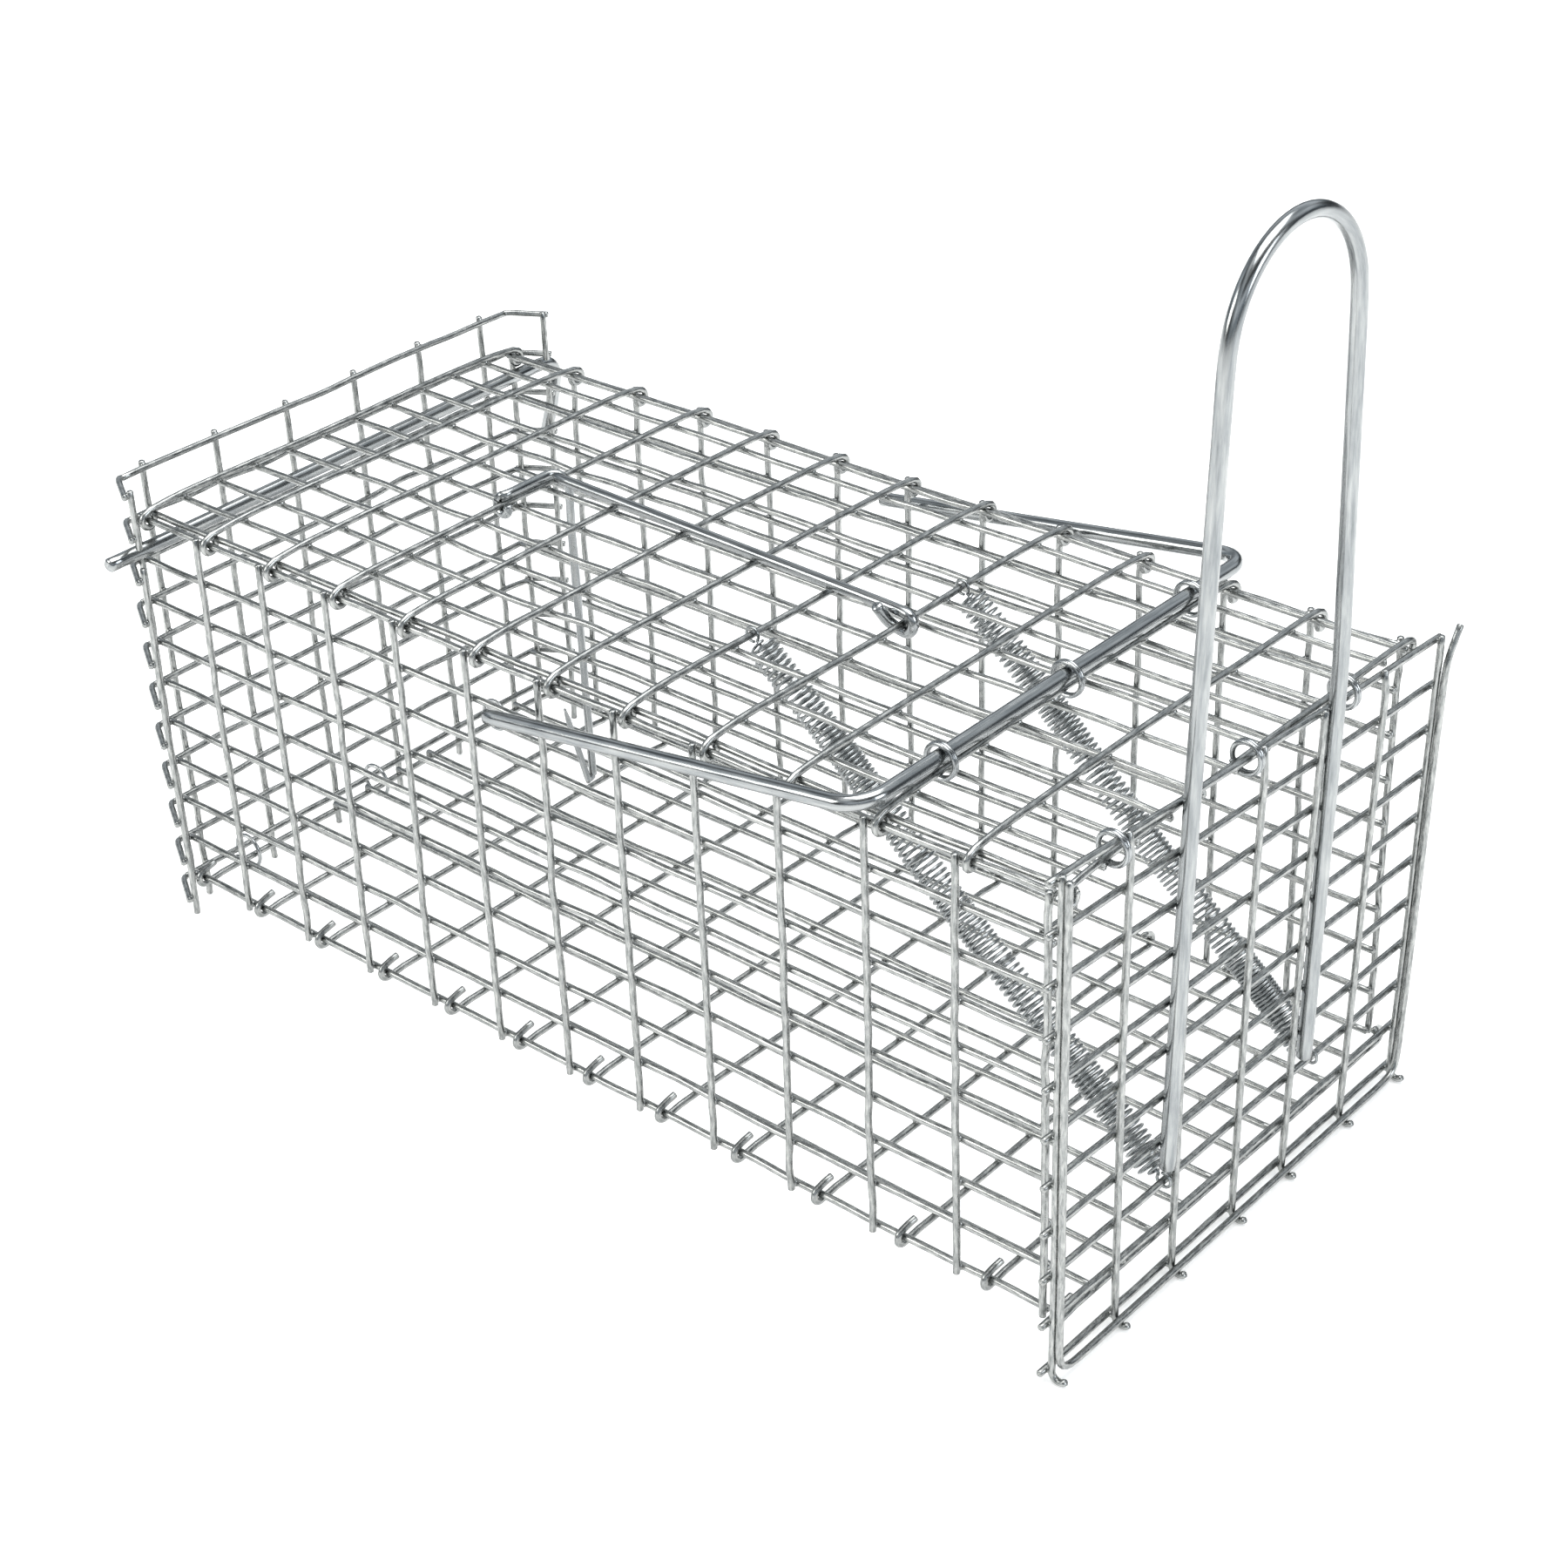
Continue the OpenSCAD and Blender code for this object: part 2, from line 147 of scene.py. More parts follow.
def carried_round(path, radius, sides=9, side_hint=None):
    """A round section carried along a path, with its two ends closed and slightly rounded.

    Point = path + radius * (cos a * side + sin a * up), where up is square to the
    path and to side. Returns points, four-sided faces, three-sided faces and, for
    each point, how far along it lies and where round the wire."""
    path = np.asarray(path, float)
    radius = np.full(len(path), radius, float) if np.ndim(radius) == 0 else radius
    head, tail = path[1] - path[0], path[-2] - path[-1]
    head /= np.linalg.norm(head)
    tail /= np.linalg.norm(tail)
    r0, r1 = radius[0], radius[-1]
    path = np.concatenate(
        [[path[0]], [path[0] + head * r0 * 0.28], path[1:-1], [path[-1] + tail * r1 * 0.28], [path[-1]]]
    )
    radius = np.concatenate([[r0 * 0.72], radius[:-1], [r1], [r1 * 0.72]])
    way = np.gradient(path, axis=0)
    way /= np.linalg.norm(way, axis=1)[:, None]
    if side_hint is None:
        mean = np.abs(way).mean(0)
        side_hint = np.eye(3)[int(np.argmin(mean))]
    up = np.cross(way, side_hint)
    up /= np.linalg.norm(up, axis=1)[:, None]
    side = np.cross(up, way)
    a = 2 * np.pi * np.arange(sides) / sides
    ring = np.cos(a)[None, :, None] * side[:, None] + np.sin(a)[None, :, None] * up[:, None]
    body = path[:, None] + radius[:, None, None] * ring
    points = np.concatenate([body.reshape(-1, 3), path[:1], path[-1:]])
    rings = len(path)
    i = np.arange(rings - 1)[:, None] * sides
    j, k = np.arange(sides)[None], (np.arange(sides)[None] + 1) % sides
    fours = np.stack([i + j, i + sides + j, i + sides + k, i + k], -1).reshape(-1, 4)
    last = (rings - 1) * sides
    one, two = j.ravel(), k.ravel()
    low = np.stack([np.full(sides, rings * sides), one, two], 1)
    high = np.stack([np.full(sides, rings * sides + 1), last + two, last + one], 1)
    reach = np.concatenate([[0], np.cumsum(np.linalg.norm(np.diff(path, axis=0), axis=1))])
    lay = np.stack(
        [np.repeat(reach, sides), np.tile(np.cos(a), rings), np.tile(np.sin(a), rings)], 1
    )
    lay = np.concatenate([lay, [[reach[0], 0, 0], [reach[-1], 0, 0]]])
    return points, fours, np.concatenate([low, high]), lay


def weld_beads(places, size):
    """Weld beads: one small ball per place, radii = size, on a grid of 6 by 3 bands.

    Point = place + size * (sin b cos a, sin b sin a, cos b)."""
    places = wander(np.asarray(places, float))
    bands, sides = 3, 6
    b = np.pi * np.arange(1, bands + 1) / (bands + 1)
    a = 2 * np.pi * np.arange(sides) / sides
    ball = np.stack(
        [np.outer(np.sin(b), np.cos(a)), np.outer(np.sin(b), np.sin(a)), np.outer(np.cos(b), np.ones(sides))],
        -1,
    ).reshape(-1, 3)
    ball = np.concatenate([ball, [[0, 0, 1], [0, 0, -1]]])
    grow = lot.uniform(0.88, 1.15, (len(places), 1, 1))
    points = places[:, None] + ball[None] * np.asarray(size) * grow
    j, k = np.arange(sides), (np.arange(sides) + 1) % sides
    starts = sides * np.arange(bands - 1)[:, None]
    fours = np.stack([starts + j, starts + sides + j, starts + sides + k, starts + k], -1)
    fours = fours.reshape(-1, 4)
    top = np.stack([np.full(sides, bands * sides), j, k], 1)
    low = (bands - 1) * sides
    bottom = np.stack([np.full(sides, bands * sides + 1), low + k, low + j], 1)
    shift = (np.arange(len(places)) * len(ball))[:, None, None]
    lay = np.tile(ball * 0.8, (len(places), 1)) + np.repeat(places[:, :1], len(ball), 0) * [1, 0, 0]
    return (
        points.reshape(-1, 3),
        (fours[None] + shift).reshape(-1, 4),
        (np.concatenate([top, bottom])[None] + shift).reshape(-1, 3),
        lay,
    )


def make_piece(name, parts, finish, nodes, body, rides=True):
    """Joins tubes and beads into one object that stands for its CAD nodes."""
    shift = np.cumsum([0] + [len(p[0]) for p in parts[:-1]])
    points = to_row(np.concatenate([p[0] for p in parts]))
    points = np.clip(points, np.array(cad_low) + 1e-6, np.array(cad_high) - 1e-6)
    fours = np.concatenate([p[1] + s for p, s in zip(parts, shift)])
    threes = np.concatenate([p[2] + s for p, s in zip(parts, shift)])
    lay = np.concatenate([p[3] for p in parts])
    mesh = bpy.data.meshes.new(name)
    mesh.vertices.add(len(points))
    mesh.vertices.foreach_set("co", points.astype(np.float32).ravel())
    mesh.loops.add(fours.size + threes.size)
    mesh.loops.foreach_set("vertex_index", np.concatenate([fours.ravel(), threes.ravel()]).astype(np.int32))
    mesh.polygons.add(len(fours) + len(threes))
    starts = np.concatenate([4 * np.arange(len(fours)), fours.size + 3 * np.arange(len(threes))])
    mesh.polygons.foreach_set("loop_start", starts.astype(np.int32))
    mesh.polygons.foreach_set("use_smooth", np.ones(len(starts), bool))
    where = mesh.attributes.new("wire_lay", "FLOAT_VECTOR", "POINT")
    where.data.foreach_set("vector", lay.astype(np.float32).ravel())
    mesh.update(calc_edges=True)
    mesh.materials.append(finish)
    piece = bpy.data.objects.new(name, mesh)
    bpy.context.scene.collection.objects.link(piece)
    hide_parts(*nodes)
    if rides:
        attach(piece, body)
    return piece


def linear(hex_colour):
    """sRGB hex to the linear colour that a shader reads."""
    parts = np.array([int(hex_colour[i : i + 2], 16) for i in (1, 3, 5)]) / 255
    parts = np.where(parts <= 0.04045, parts / 12.92, ((parts + 0.055) / 1.055) ** 2.4)
    return (*parts.tolist(), 1.0)


def add_node(tree, kind, settings=None, links=None):
    """Adds one node, sets its inputs and properties, and links its inputs."""
    node = tree.nodes.new(kind)
    for key, value in (settings or {}).items():
        if key in node.inputs:
            node.inputs[key].default_value = value
        else:
            setattr(node, key, value)
    for key, source in (links or {}).items():
        tree.links.new(source, node.inputs[key])
    return node


def zinc_plated_steel(name, dark, mid, light, rough, draw_bump, spot_mm):
    """Bright zinc-plated drawn steel wire.

    The plating gives a cool grey metal with soft cloudy patches a few millimetres
    long, and the drawing die leaves fine lines along the wire. Patches and lines
    follow the wire: the first number of wire_lay runs along it in millimetres."""
    made = bpy.data.materials.new(name)
    made.use_nodes = True
    tree = made.node_tree
    tree.nodes.clear()
    lay = add_node(tree, "ShaderNodeAttribute", {"attribute_name": "wire_lay"})
    stretch = add_node(
        tree, "ShaderNodeMapping", {"Scale": (1 / spot_mm, 0.9, 0.9)}, {"Vector": lay.outputs["Vector"]}
    )
    clouds = add_node(
        tree,
        "ShaderNodeTexNoise",
        {"Scale": 1.6, "Detail": 5.0, "Roughness": 0.62},
        {"Vector": stretch.outputs[0]},
    )
    # die lines: 12 round the wire, drawn coarser than the real ones so that they show
    lines_at = add_node(
        tree, "ShaderNodeMapping", {"Scale": (0.05, 6.0, 6.0)}, {"Vector": lay.outputs["Vector"]}
    )
    lines = add_node(
        tree, "ShaderNodeTexNoise", {"Scale": 1.4, "Detail": 2.0}, {"Vector": lines_at.outputs[0]}
    )
    # grain of the plating: crystals of about 0.4 mm, in Object coordinates
    place = add_node(tree, "ShaderNodeTexCoord")
    grain = add_node(
        tree, "ShaderNodeTexNoise", {"Scale": 2400.0, "Detail": 2.0}, {"Vector": place.outputs["Object"]}
    )
    tone = add_node(tree, "ShaderNodeValToRGB", {}, {"Fac": clouds.outputs["Fac"]})
    ramp = tone.color_ramp
    ramp.elements[0].position, ramp.elements[0].color = 0.3, linear(dark)
    ramp.elements[1].position, ramp.elements[1].color = 0.72, linear(light)
    middle = ramp.elements.new(0.5)
    middle.color = linear(mid)
    mixed = add_node(
        tree,
        "ShaderNodeMix",
        {"data_type": "RGBA", "blend_type": "MULTIPLY", "Factor": 0.35},
        {},
    )
    streak = add_node(
        tree,
        "ShaderNodeMapRange",
        {"From Min": 0.3, "From Max": 0.7, "To Min": 0.82, "To Max": 1.08},
        {"Value": lines.outputs["Fac"]},
    )
    tree.links.new(tone.outputs["Color"], mixed.inputs[6])
    tree.links.new(streak.outputs["Result"], mixed.inputs[7])
    gloss = add_node(
        tree,
        "ShaderNodeMapRange",
        {"From Min": 0.3, "From Max": 0.7, "To Min": rough[0], "To Max": rough[1]},
        {"Value": clouds.outputs["Fac"]},
    )
    ridge = add_node(
        tree, "ShaderNodeBump", {"Strength": draw_bump, "Distance": 0.00012}, {"Height": lines.outputs["Fac"]}
    )
    pits = add_node(
        tree,
        "ShaderNodeBump",
        {"Strength": draw_bump * 0.6, "Distance": 0.00008},
        {"Height": grain.outputs["Fac"], "Normal": ridge.outputs["Normal"]},
    )
    shader = add_node(
        tree,
        "ShaderNodeBsdfPrincipled",
        {"Metallic": 1.0},
        {
            "Base Color": mixed.outputs[2],
            "Roughness": gloss.outputs["Result"],
            "Normal": pits.outputs["Normal"],
        },
    )
    add_node(tree, "ShaderNodeOutputMaterial", {}, {"Surface": shader.outputs["BSDF"]})
    return made


mesh_zinc = zinc_plated_steel(
    "zinc_plated_mesh_wire", "#737675", "#989A99", "#BFC0BD", (0.19, 0.34), 0.2, 5.0
)

for side, name in ((-1, "left_wall"), (1, "right_wall")):
    parts = []
    for k in range(10):
        parts.append(
            carried_round(
                welded_wire(
                    [WALL_REAR - 0.7, side * HALF_WIDTH, k * CELL],
                    [WALL_FRONT + 0.7, side * HALF_WIDTH, k * CELL],
                    PITCH,
                    0.7,
                ),
                WIRE,
            )
        )
    for i in range(13):
        x = WALL_REAR + i * PITCH
        ends = [[x, side * POST_Y, -1.5], [x, side * POST_Y, WALL_TOP + 1.5]]
        parts.append(carried_round(welded_wire(*ends, CELL, 1.5, 0.18), WIRE))
    crossings = [
        [WALL_REAR + i * PITCH, side * (HALF_WIDTH + POST_Y) / 2, k * CELL]
        for i in range(13)
        for k in range(10)
    ]
    parts.append(weld_beads(np.array(crossings) + [0, side * -0.3, 0], [1.05, 0.85, 1.05]))
    make_piece(name + "_mesh", parts, mesh_zinc, [name], "cage")

# ---------------------------------------------------------------- roof
# Thirteen cross-wires lie over ten long wires. Each cross-wire arches down at
# both ends and is curled round the wall's top wire and an edge wire beside it,
# which ties the roof to the walls without any other fixing.
ROOF = 117.8
ROOF_LONG = 116.1
CURL = 2.1
SHOULDER = 7.85


def roof_wire(x):
    """Straight top, an arched shoulder at each end, and a curl of 300 degrees."""
    ends = []
    for side in (-1, 1):
        curl = arc([x, HALF_WIDTH, WALL_TOP], CURL, 79.5, -220.5, (1, 2))
        curl[:, 0] += np.linspace(0, lot.uniform(-0.9, 1.3), len(curl))
        curl[:, 1] *= side
        ends.append(curl)
    top = points_between(
        [
            [x, -HALF_WIDTH + 0.8, WALL_TOP + CURL + 0.5],
            [x, -HALF_WIDTH + SHOULDER, ROOF],
            [x, HALF_WIDTH - SHOULDER, ROOF],
            [x, HALF_WIDTH - 0.8, WALL_TOP + CURL + 0.5],
        ],
        2.6,
    )
    top = rounded(top, 10)
    return np.concatenate([ends[0][::-1], top, ends[1]])


parts = []
crossings = []
for i in range(13):
    x = -HALF_LENGTH + i * PITCH
    path = roof_wire(x)
    middle = np.abs(path[:, 1]) < 62
    path[middle] += (
        np.sin(np.pi * (path[middle, 1] / CELL + 0.5)) ** 2 * lot.normal(0, 0.12, middle.sum())
    )[:, None] * [0.6, 0, 0.5]
    parts.append(carried_round(wander(path), WIRE, side_hint=[1, 0, 0]))
for j in range(1, 11):
    y = -HALF_WIDTH + j * CELL
    ends = [[-HALF_LENGTH - 0.9, y, ROOF_LONG], [HALF_LENGTH + 0.9, y, ROOF_LONG]]
    parts.append(carried_round(welded_wire(*ends, PITCH, 0.9, 0.2), WIRE * 0.96))
    crossings += [[-HALF_LENGTH + i * PITCH, y, (ROOF + ROOF_LONG) / 2] for i in range(13)]
for side in (-1, 1):
    edge = welded_wire(
        [-HALF_LENGTH - 0.9, side * 67.45, 115.3], [HALF_LENGTH + 0.9, side * 67.45, 115.3], PITCH, 0.9, 0.15
    )
    parts.append(carried_round(edge, WIRE))
parts.append(weld_beads(np.array(crossings) - [0, 0, 0.25], [1.1, 1.1, 0.85]))
make_piece("roof_mesh", parts, mesh_zinc, ["roof_panel"], "cage")

# ---------------------------------------------------------------- floor
# Same mesh as the roof, cross-wires below. Their ends are bent up round the
# walls' bottom wires as short open hooks that show along the lower edges.
FLOOR = -1.5
FLOOR_LONG = 0.2
FLOOR_DRIFT = 0.45  # the floor's cells are this much longer than the walls'


def floor_hook(x, side):
    """Hook: an arc from under the wall's bottom wire to its outside, then a free end."""
    bend = arc([x, HALF_WIDTH, 0], CURL, -96, 65, (1, 2))
    a = np.radians(65)
    free = bend[-1] + np.outer([2.4, 5.0], [0, -np.sin(a), np.cos(a)])
    free[:, 0] += [0.4, 1.1]
    hook = np.concatenate([bend, free])
    hook[:, 1] *= side
    return hook


parts = []
crossings = []
for i in range(13):
    x = -HALF_LENGTH + i * PITCH + (i * FLOOR_DRIFT if i < 12 else 0)
    middle = points_between([[x, -63.85, FLOOR], [x, 63.85, FLOOR]], 3.2)
    path = np.concatenate([floor_hook(x, -1)[::-1], middle, floor_hook(x, 1)])
    parts.append(carried_round(wander(path), WIRE, side_hint=[1, 0, 0]))
    crossings += [[x, -HALF_WIDTH + j * CELL, (FLOOR + FLOOR_LONG) / 2] for j in range(1, 11)]
for j in range(1, 11):
    y = -HALF_WIDTH + j * CELL
    long_wire = welded_wire(
        [-HALF_LENGTH - 0.9, y, FLOOR_LONG], [HALF_LENGTH + 0.9, y, FLOOR_LONG], PITCH, 0.9
    )
    parts.append(carried_round(long_wire, WIRE))
parts.append(weld_beads(np.array(crossings) + [0, 0, 0.25], [1.1, 1.1, 0.85]))
make_piece("floor_mesh", parts, mesh_zinc, ["floor_panel"], "cage")

# ---------------------------------------------------------------- front door
# A loose panel of the same mesh: level wires behind, seven uprights in front.
# It is a little out of square: its left edge stands higher than its right one.
# The uprights' lower ends are hooked under the edge wire.
DOOR_X = 154.8
DOOR_POST_X = 156.5
DOOR_BASE = -8.9
DOOR_HALF = 76.2
LOW_SHIFT = [0.2, 0.2, -1.3, -0.2, -2.8, -0.6, -0.8]
TOP_SHIFT = [0.4, -0.3, -2.2, 0.2, -1.1, 0.8, 0.2]


def door_point(x, y, k):
    """Place of level wire k at the distance y from the door's middle."""
    return np.array(
        [x, y * (0.98 + 0.004 * k) - 3.6 + 0.34 * k, DOOR_BASE + k * (12.8 - 0.49 * y / DOOR_HALF)]
    )


def door_wave(path):
    """The door's own drift, none at its lower edge: panels are stiffer than wires."""
    share = np.clip((path[:, 2] - DOOR_BASE) / 12, 0, 1)[:, None]
    return path + (wander(path, 0.3) - path) * share * [0.4, 1, 1]


parts = []
crossings = []
for k in range(11):
    ends = [door_point(DOOR_X, -78.8, k), door_point(DOOR_X, 78.8, k)]
    path = points_between(ends, 3.2)
    t = (path[:, 1] - path[0, 1]) / PITCH
    path[:, 2] += np.sin(np.pi * t) ** 2 * np.interp(t, np.arange(8), lot.normal(0, 0.16, 8))
    parts.append(carried_round(door_wave(path), WIRE))
    crossings += [
        door_point((DOOR_X + DOOR_POST_X) / 2, y, k)
        + [0.3, LOW_SHIFT[i] * (1 - k / 10) + TOP_SHIFT[i] * k / 10, 0]
        for i, y in enumerate(np.linspace(-DOOR_HALF, DOOR_HALF, 7))
    ]
for i in range(7):
    y = -DOOR_HALF + i * PITCH
    low = door_point(DOOR_POST_X, y, 0) + [0, LOW_SHIFT[i], 0]
    top = door_point(DOOR_POST_X, y, 10) + [0, TOP_SHIFT[i], 0]
    top = top + 1.6 * (top - low) / np.linalg.norm(top - low)
    hook = arc(low + [CURL, 0, 0], CURL, 330, 180, (0, 2), 14)
    post = points_between([low, top], 3.2)[1:]
    bend = np.sin(np.linspace(0, np.pi, len(post))) * lot.normal(0, 0.5)
    post[:, 1] += bend
    if i in (1, 3, 5):
        post[-2:, 0] -= [0.3, 0.9]
    parts.append(carried_round(door_wave(np.concatenate([hook, post])), WIRE, side_hint=[0, 1, 0]))
beads = weld_beads(crossings, [0.85, 1.05, 1.05])
parts.append(beads)
make_piece("front_door_grid", parts, mesh_zinc, ["front_door_mesh"], "front_door")

# edge wire of the door: down the left side, under the uprights' hooks and up
# the right side, where its end is bent outward as a stop against the wall
FRAME_X = 158.53
left_low = door_point(FRAME_X, -DOOR_HALF, 0)
right_low = door_point(FRAME_X, DOOR_HALF, 0) - [0, 0.8, 0]
left_top = door_point(FRAME_X, -DOOR_HALF, 10) + [0, 0, 1]
right_top = door_point(FRAME_X, DOOR_HALF, 10) - [0, 0, 5]
edge = points_between(
    [
        left_top,
        left_low + [0, 0, 4],
        left_low + [0, 1.2, 1.2],
        left_low + [0, 4, 0],
        right_low - [0, 4, 0],
        right_low + [0, -1.2, 1.2],
        right_low + [0, 0, 4],
        right_top,
        right_top + [0, 5.5, 8],
    ],
    2.4,
)
edge = rounded(edge, 4)
make_piece(
    "front_door_edge_wire",
    [carried_round(door_wave(edge), WIRE, 10, [1, 0, 0])],
    mesh_zinc,
    ["front_door_frame_wire"],
    "front_door",
)

# ---------------------------------------------------------------- hinge rings
# Three clips of soft zinc-plated wire tie the door's top wire to the roof's
# front cross-wire. Each is squeezed shut by hand, so its ends lie side by side.
ring_zinc = zinc_plated_steel("zinc_plated_ring_wire", "#767A7C", "#9DA0A1", "#CACCCC", (0.14, 0.3), 0.2, 9.0)


def closed_clip(centre, radius, turns, wire, gap_at):
    """Clip: a circle across the cage that makes a little over one turn.

    Its ends pass each other by one wire's thickness, so it is a flat helix."""
    a = np.radians(gap_at) + np.linspace(0, 2 * np.pi * turns, int(30 * turns) + 1)
    slide = np.linspace(-0.5, 0.5, len(a)) * 2.1 * wire * max(turns - 0.94, 0)
    path = centre + np.stack([radius * np.cos(a), slide, radius * np.sin(a)], 1)
    return carried_round(path, wire, 10, [0, 1, 0])


HINGE_Y = [-55.0, -3.4, 37.5]
for y, name in zip(HINGE_Y, ("left", "middle", "right")):
    low, high = (Vector(v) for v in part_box("front_hinge_ring_" + name))
    centre = (np.array((low + high) / 2) - cage_zero) * 1000
    clip = closed_clip(centre, 3.9, 1.85, 0.68, 200)
    make_piece(
        "door_hinge_clip_" + name, [clip], ring_zinc, ["front_hinge_ring_" + name], "front_door"
    )

# ---------------------------------------------------------------- setting handle
# One length of 4 mm bright wire: two legs welded to the front of the door's
# level wires and a round arch above. It carries the trap and, pressed down over
# the roof, opens the door.
rod_zinc = zinc_plated_steel("zinc_plated_rod", "#7F8385", "#999C9D", "#B2B4B3", (0.15, 0.26), 0.1, 22.0)
HANDLE_X = 157.83
ARCH_R = 25.6
ARCH_Z = 221.0
ARCH_Y = -0.8
left_leg = [[HANDLE_X, -35.4, 24], [HANDLE_X, -31.4, 128], [HANDLE_X, ARCH_Y - ARCH_R, ARCH_Z - 4]]
right_leg = [[HANDLE_X, ARCH_Y + ARCH_R, ARCH_Z - 4], [HANDLE_X, 28.0, 128], [HANDLE_X, 23.6, 22]]
legs = [
    points_between(left_leg, 4),
    arc([HANDLE_X, ARCH_Y, ARCH_Z], ARCH_R, 178, 2, (1, 2), 6),
    points_between(right_leg, 4),
]
handle = rounded(np.concatenate(legs), 6)
tube = carried_round(handle, 2.0, 18, [1, 0, 0])
make_piece("setting_handle_rod", [tube], rod_zinc, ["setting_handle"], "front_door")

# ---------------------------------------------------------------- springs
# Two extension springs wound from 1 mm spring wire, slightly stretched, so the
# turns stand apart unevenly. Each is hooked on a roof cross-wire and on a level
# wire of the door, which they pull shut.
spring_zinc = zinc_plated_steel(
    "zinc_plated_spring_wire", "#6B6F70", "#8D9192", "#C4C6C6", (0.16, 0.34), 0.2, 5.0
)
COIL = 3.72
SPRING_WIRE = 0.41


def spring_path(start, end, turns, bunch):
    """Helix of an extension spring; the eyes and straight shanks at its ends are made by the loop below.

    Helix point = axis point + COIL * (cos a, sin a) across the axis. The pitch
    wavers a little on the way, and past a given share of the spring the turns lie
    closer together."""
    axis = end - start
    length = np.linalg.norm(axis)
    axis /= length
    across = np.array([0.0, 1.0, 0.0])
    across -= across @ axis * axis
    across /= np.linalg.norm(across)
    third = np.cross(axis, across)
    a = np.linspace(0, 2 * np.pi * turns, int(turns * 15))
    t = a / a[-1]
    pitch = 1 + 0.16 * np.sin(2 * np.pi * 3.3 * t) - bunch[0] / (1 + np.exp((bunch[1] - t) * 24))
    spread = np.cumsum(pitch)
    spread = (spread - spread[0]) / (spread[-1] - spread[0])
    radius = COIL * np.minimum(1, np.minimum(t, 1 - t) * turns * 0.9 + 0.15)
    sway = 0.5 * np.sin(2 * np.pi * 1.5 * t)
    helix = (
        start
        + np.outer(2.6 + spread * (length - 5.2), axis)
        + (radius * np.cos(a) + sway)[:, None] * across
        + (radius * np.sin(a))[:, None] * third
    )
    return helix, axis


# name, place on the roof, y on the door, turns, how much closer the last turns lie, from which share on
for name, start, far_y, turns, bunch in (
    ("left", np.array([25.4, -25.4, ROOF]), -32.0, 108, (0.1, 0.9)),
    ("right", np.array([50.8, 25.4, ROOF]), 32.0, 100, (0.26, 0.68)),
):
    end = np.array([DOOR_X, far_y, DOOR_BASE + 2 * (12.8 - 0.49 * far_y / DOOR_HALF)])
    helix, axis = spring_path(start, end, turns, bunch)
    parts = [carried_round(helix, SPRING_WIRE, 6, axis)]
    for at, way, first, last in ((start, axis, -38, 290), (end, -axis, 142, 470)):
        eye = arc(at, 1.9, first, last, (0, 2), 14)
        parts.append(carried_round(eye, SPRING_WIRE, 8, [0, 1, 0]))
        shank = points_between([at + way * 1.8, at + way * 4.2], 1)
        parts.append(carried_round(shank, SPRING_WIRE, 8, [0, 1, 0]))
    spring = make_piece(
        name + "_spring_coil", parts, spring_zinc, [name + "_spring"], "cage", rides=False
    )
    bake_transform(spring)

# ---------------------------------------------------------------- latch rod
# 3 mm wire that lies along the roof. Its front end is hooked round a roof
# cross-wire, with the tail standing up beside it; its rear end lies
# on the roof beside the bait hook's catch.
LATCH_X = 50.8
LATCH_R = 2.95
TIP = np.array([-72.5, 6.3, 120.75])
shank = points_between([[LATCH_X + 0.9, 2, ROOF + LATCH_R - 0.1], TIP], 5)
hook = arc([LATCH_X, 2, ROOF], LATCH_R, 66, -90, (0, 2), 10)
tail = points_between([[LATCH_X - 3.4, 0.5, ROOF - 0.8], [LATCH_X - 4.2, -3.5, ROOF + 5.5]], 1.2)
latch = rounded(np.concatenate([shank[::-1], hook, tail]), 3)
tube = carried_round(latch, 1.5, 14, [0, 1, 0.15])
make_piece("latch_rod_wire", [tube], rod_zinc, ["latch_rod"], "latch")

# ---------------------------------------------------------------- bait hook
# 2.5 mm wire: an eye round a roof cross-wire, a short catch bar across the top,
# then a long leg into the cage. The leg is hammered flat and twisted under its
# bend, and its end is folded back up as a thin pointed barb for the bait.
BAIT_X = -76.2
EYE = 2.55
eye = arc([BAIT_X, -9.6, ROOF], EYE, 380, 90, (0, 2), 12)
eye[:, 1] += np.linspace(-1.4, 0, len(eye))
leg = points_between(
    [
        [BAIT_X, -9.6, ROOF + EYE],
        [BAIT_X, 7.9, ROOF + EYE],
        [BAIT_X + 2.6, 9.9, ROOF + 2.0],
        [BAIT_X + 3.1, 11.4, ROOF - 1.4],
        [BAIT_X + 2.6, 11.5, 104],
        [BAIT_X - 2.6, 17.6, 20],
    ],
    1.6,
)
barb = points_between([[BAIT_X - 2.6, 17.6, 20], [BAIT_X - 2.6, 15.6, 18.9], [BAIT_X - 2.6, 8.4, 46]], 1.6)
path = rounded(np.concatenate([eye, leg[1:]]), 2)
hang = np.clip((112 - path[:, 2]) / 20, 0, 1)
thick = 1.25 - 0.12 * hang
points, fours, threes, lay = carried_round(path, thick, 14, [0.35, 0.2, 1.0])
# flattened part of the leg: pressed to two thirds along the cage, 60 to 100 mm up
centre = np.interp(points[:, 2], [20, 104], [17.6, 11.5])
flat = np.exp(-(((points[:, 2] - 88) / 14) ** 2)) * (np.abs(points[:, 0] - BAIT_X) < 6)
points[:, 1] += (points[:, 1] - centre) * 0.45 * flat
points[:, 0] += (BAIT_X + np.interp(points[:, 2], [20, 104], [-2.6, 2.6]) - points[:, 0]) * 0.35 * flat
barb_radius = np.interp(np.arange(len(barb)), [0, 2, len(barb) - 4, len(barb) - 1], [1.1, 0.95, 0.8, 0.35])
make_piece(
    "bait_hook_wire",
    [(points, fours, threes, lay), carried_round(barb, barb_radius, 12, [1, 0, 0])],
    rod_zinc,
    ["bait_hook"],
    "bait",
)

